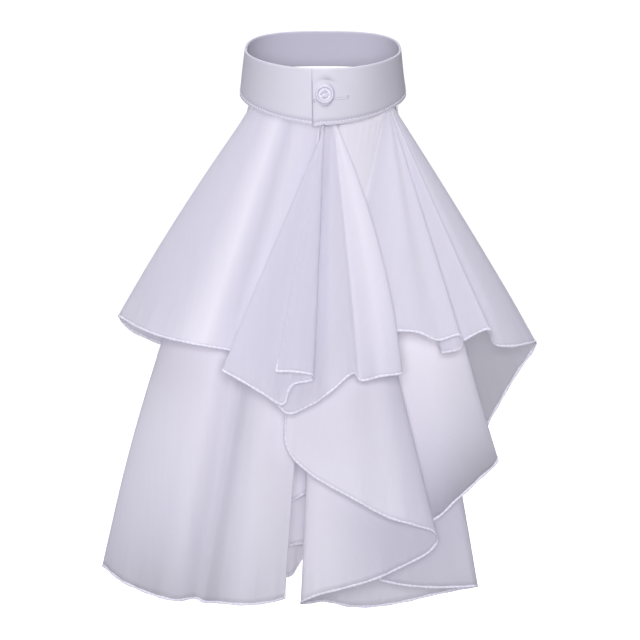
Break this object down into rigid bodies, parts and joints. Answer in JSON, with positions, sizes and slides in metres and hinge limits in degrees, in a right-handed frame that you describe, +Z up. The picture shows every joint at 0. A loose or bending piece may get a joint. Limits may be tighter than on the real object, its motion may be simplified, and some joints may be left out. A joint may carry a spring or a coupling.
{
  "type": "jabot",
  "caption": "White chiffon jabot with a buttoned stand collar and cascading circular flounces in two tiers.",
  "frame": {"origin": "middle of the neck opening, halfway up the collar, where the neck holds the worn jabot", "axes": "+Z up, -Y toward the front where the collar buttons, +X to the viewer's right from the front"},
  "size_m": [0.334, 0.1696, 0.4474],
  "materials": {
    "cotton_band": "matt white cotton, folded and top-stitched",
    "chiffon": "sheer white chiffon with a narrow overlocked hem",
    "button": "glossy white four-hole shirt button"
  },
  "bodies": {
    "root": {"collar_band": "cotton_band", "collar_button": "button", "flounce_left_upper": "chiffon", "flounce_left_lower": "chiffon", "flounce_centre_fan": "chiffon", "flounce_right_upper": "chiffon", "flounce_right_cascade": "chiffon", "flounce_inner": "chiffon"}
  },
  "joints": []
}
